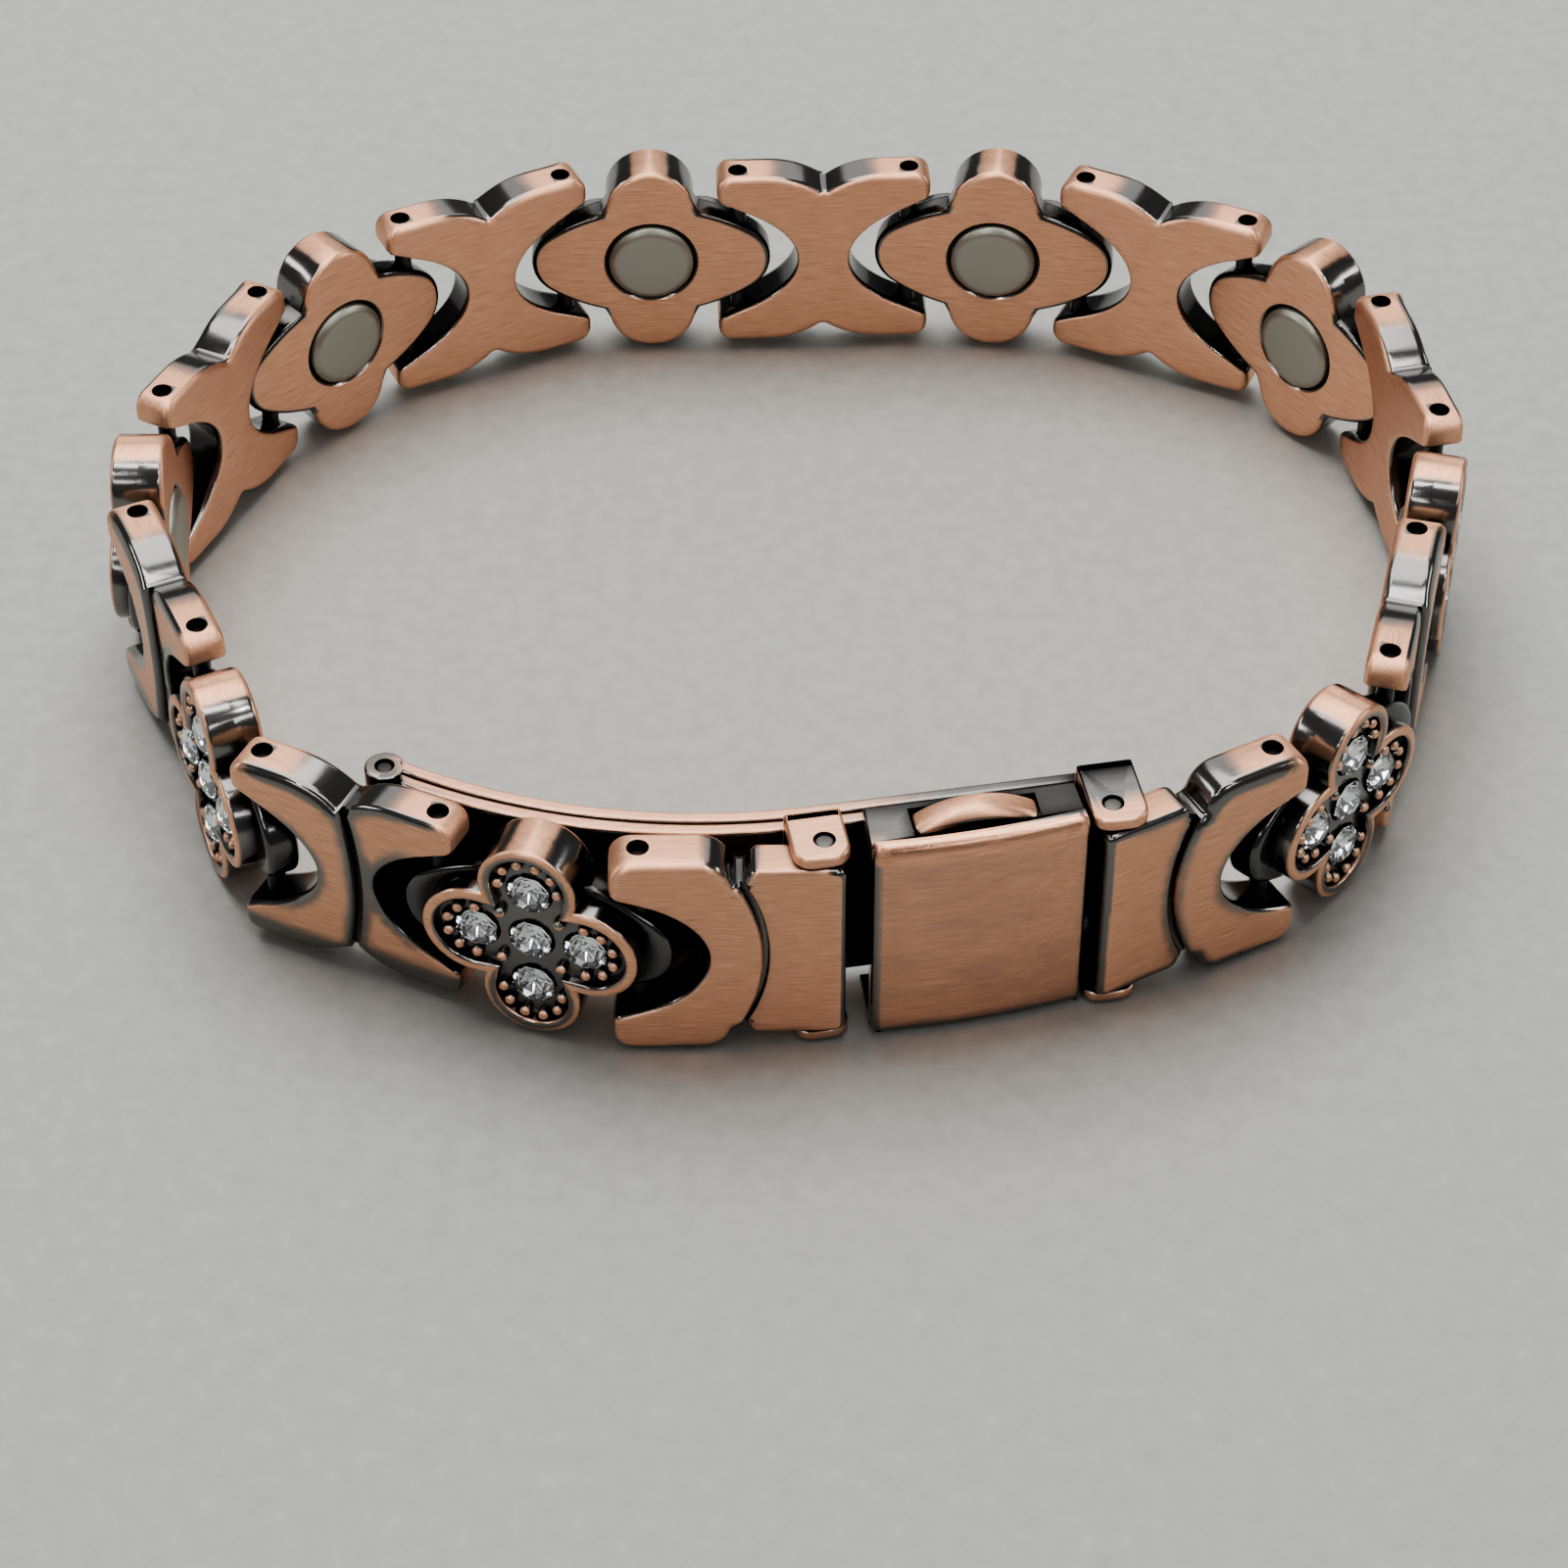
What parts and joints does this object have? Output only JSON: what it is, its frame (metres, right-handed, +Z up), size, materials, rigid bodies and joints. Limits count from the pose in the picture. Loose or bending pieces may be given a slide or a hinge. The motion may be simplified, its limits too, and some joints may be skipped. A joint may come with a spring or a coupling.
{
  "type": "copper panel link bracelet",
  "caption": "Closed bracelet of hinged copper panel links with stone-set flower panels, magnets on the wrist side and a fold-over push-button clasp, standing on its edge.",
  "frame": {"origin": "on the surface that the bracelet stands on, under the middle of the closed loop", "axes": "+Z up along the wrist hole, -Y towards the clasp's side, +X to the right seen from the clasp"},
  "size_m": [0.0686, 0.0574, 0.0125],
  "materials": {
    "copper": "antique copper plate, brushed on its faces and darkened to gunmetal in its recesses",
    "steel": "plain steel pins with cut ends",
    "magnet": "matt nickel-grey plated magnet with a bright bevel",
    "crystal": "clear cut crystal with a foiled back"
  },
  "bodies": {
    "bracelet": {"flower_link_1": "copper", "flower_link_2": "copper", "flower_link_3": "copper", "flower_link_4": "copper", "flower_link_5": "copper", "flower_link_6": "copper", "flower_link_7": "copper", "flower_link_8": "copper", "flower_link_9": "copper", "stones_1": "crystal", "stones_2": "crystal", "stones_3": "crystal", "stones_4": "crystal", "stones_5": "crystal", "stones_6": "crystal", "stones_7": "crystal", "stones_8": "crystal", "stones_9": "crystal", "magnet_1": "magnet", "magnet_2": "magnet", "magnet_3": "magnet", "magnet_4": "magnet", "magnet_5": "magnet", "magnet_6": "magnet", "magnet_7": "magnet", "magnet_8": "magnet", "magnet_9": "magnet", "cross_link_1": "copper", "cross_link_2": "copper", "cross_link_3": "copper", "cross_link_4": "copper", "cross_link_5": "copper", "cross_link_6": "copper", "cross_link_7": "copper", "cross_link_8": "copper", "link_pins_1": "steel", "link_pins_2": "steel", "link_pins_3": "steel", "link_pins_4": "steel", "link_pins_5": "steel", "link_pins_6": "steel", "link_pins_7": "steel", "link_pins_8": "steel", "end_link_right": "copper", "end_link_left": "copper", "end_pin_right": "steel", "end_pin_left": "steel", "clasp_pin_right": "steel", "clasp_pin_left": "steel", "base_blade": "copper", "fold_blade": "copper", "blade_pin": "steel", "cover": "copper"},
    "push_button": {"push_button": "copper"}
  },
  "joints": [
    {"name": "button_press", "type": "slide", "parent": "bracelet", "child": "push_button", "axis": [0, 0, -1], "range_m": [0, 0.0006], "stiffness_N_per_m": 1500}
  ]
}
